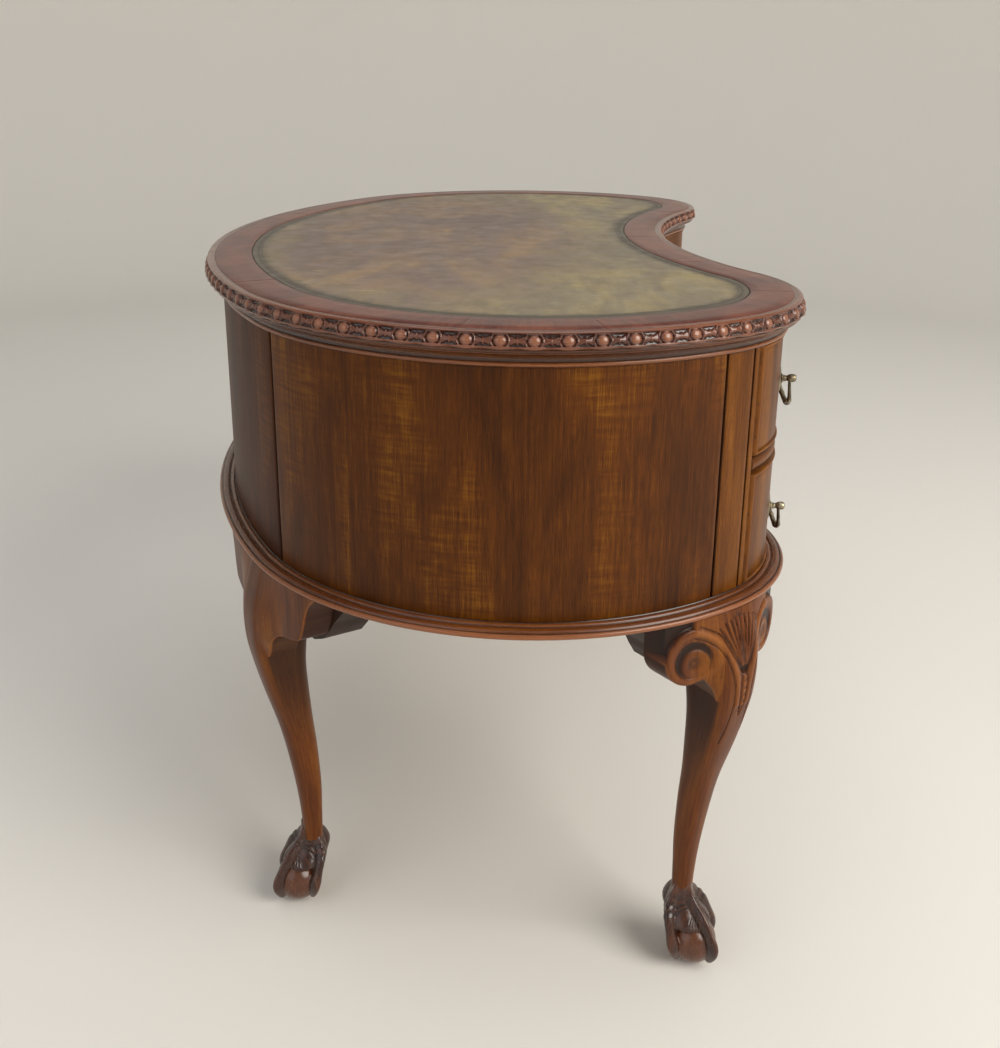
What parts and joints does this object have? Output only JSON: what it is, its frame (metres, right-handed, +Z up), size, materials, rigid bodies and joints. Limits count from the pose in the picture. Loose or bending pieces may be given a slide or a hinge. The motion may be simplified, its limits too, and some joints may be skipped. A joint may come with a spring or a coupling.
{
  "type": "kidney-shaped pedestal writing desk",
  "caption": "Kidney-shaped kneehole writing desk with a leather top, carved edge, bowed drawers with brass bails, and cabriole legs on claw-and-ball feet.",
  "frame": {"origin": "on the floor, under the middle of the desk's plan", "axes": "+X along the desk's width, to the right of someone standing behind it facing its drawers' backs; +Y to the long curved back; the drawers open towards -Y; +Z up"},
  "size_m": [1.2506, 0.7324, 0.775],
  "materials": {
    "walnut": "french-polished walnut veneer",
    "crossband": "french-polished crossbanded veneer",
    "carving": "carved and stained, waxed",
    "pilaster": "french-polished, lighter straight grain",
    "drawer_lining": "plain sawn, unpolished",
    "leather": "worn, blind-tooled border",
    "brass": "old, dull, cast"
  },
  "bodies": {
    "desk": {"carcase_top": "drawer_lining", "top_board": "walnut", "leather_inset": "leather", "crossband": "crossband", "carved_edge": "carving", "under_moulding": "walnut", "back_panel": "walnut", "end_panel_right": "walnut", "end_panel_left": "walnut", "pilaster_right": "pilaster", "kneehole_side_right": "walnut", "pilaster_left": "pilaster", "kneehole_side_left": "walnut", "pedestal_base_right": "drawer_lining", "pedestal_base_left": "drawer_lining", "base_moulding": "carving", "drawer_rail_right": "walnut", "drawer_rail_left": "walnut", "frieze_rail": "walnut", "kneehole_soffit": "walnut", "runner_frame_right": "drawer_lining", "runner_frame_left": "drawer_lining", "leg_front_right": "walnut", "leg_front_left": "walnut", "leg_rear_right": "walnut", "leg_rear_left": "walnut", "leg_bracket_front_right": "walnut", "leg_bracket_front_left": "walnut", "leg_bracket_rear_right": "walnut", "leg_bracket_rear_left": "walnut"},
    "drawer_upper_right": {"drawer_upper_right_front": "walnut", "drawer_upper_right_box": "drawer_lining", "drawer_upper_right_bottom": "drawer_lining", "handle_plate_upper_right": "brass"},
    "drawer_upper_left": {"drawer_upper_left_front": "walnut", "drawer_upper_left_box": "drawer_lining", "drawer_upper_left_bottom": "drawer_lining", "handle_plate_upper_left": "brass"},
    "drawer_lower_right": {"drawer_lower_right_front": "walnut", "drawer_lower_right_box": "drawer_lining", "drawer_lower_right_bottom": "drawer_lining", "handle_plate_lower_right": "brass"},
    "drawer_lower_left": {"drawer_lower_left_front": "walnut", "drawer_lower_left_box": "drawer_lining", "drawer_lower_left_bottom": "drawer_lining", "handle_plate_lower_left": "brass"},
    "drawer_centre": {"drawer_centre_front": "walnut", "drawer_centre_box": "drawer_lining", "drawer_centre_bottom": "drawer_lining", "handle_plate_centre_right": "brass", "handle_plate_centre_left": "brass"},
    "bail_upper_right": {"bail_upper_right": "brass"},
    "bail_upper_left": {"bail_upper_left": "brass"},
    "bail_lower_right": {"bail_lower_right": "brass"},
    "bail_lower_left": {"bail_lower_left": "brass"},
    "bail_centre_right": {"bail_centre_right": "brass"},
    "bail_centre_left": {"bail_centre_left": "brass"}
  },
  "joints": [
    {"name": "drawer_upper_right_slide", "type": "slide", "parent": "desk", "child": "drawer_upper_right", "axis": [0, -1, 0], "range_m": [0, 0.26]},
    {"name": "drawer_upper_left_slide", "type": "slide", "parent": "desk", "child": "drawer_upper_left", "axis": [0, -1, 0], "range_m": [0, 0.26]},
    {"name": "drawer_lower_right_slide", "type": "slide", "parent": "desk", "child": "drawer_lower_right", "axis": [0, -1, 0], "range_m": [0, 0.26]},
    {"name": "drawer_lower_left_slide", "type": "slide", "parent": "desk", "child": "drawer_lower_left", "axis": [0, -1, 0], "range_m": [0, 0.26]},
    {"name": "drawer_centre_slide", "type": "slide", "parent": "desk", "child": "drawer_centre", "axis": [0, -1, 0], "range_m": [0, 0.26]},
    {"name": "bail_upper_right_swing", "type": "hinge", "parent": "drawer_upper_right", "child": "bail_upper_right", "pos_m": [0.38195, -0.35545, 0.679], "axis": [-0.9989, 0.0466, 0], "range_deg": [-12, 80]},
    {"name": "bail_upper_left_swing", "type": "hinge", "parent": "drawer_upper_left", "child": "bail_upper_left", "pos_m": [-0.38195, -0.35545, 0.679], "axis": [-0.9989, -0.0466, 0], "range_deg": [-12, 80]},
    {"name": "bail_lower_right_swing", "type": "hinge", "parent": "drawer_lower_right", "child": "bail_lower_right", "pos_m": [0.38195, -0.35545, 0.5293], "axis": [-0.9989, 0.0466, 0], "range_deg": [-12, 80]},
    {"name": "bail_lower_left_swing", "type": "hinge", "parent": "drawer_lower_left", "child": "bail_lower_left", "pos_m": [-0.38195, -0.35545, 0.5293], "axis": [-0.9989, -0.0466, 0], "range_deg": [-12, 80]},
    {"name": "bail_centre_right_swing", "type": "hinge", "parent": "drawer_centre", "child": "bail_centre_right", "pos_m": [0.12261, -0.27023, 0.679], "axis": [-0.9814, 0.1918, 0], "range_deg": [-12, 80]},
    {"name": "bail_centre_left_swing", "type": "hinge", "parent": "drawer_centre", "child": "bail_centre_left", "pos_m": [-0.12261, -0.27023, 0.679], "axis": [-0.9814, -0.1918, 0], "range_deg": [-12, 80]}
  ]
}
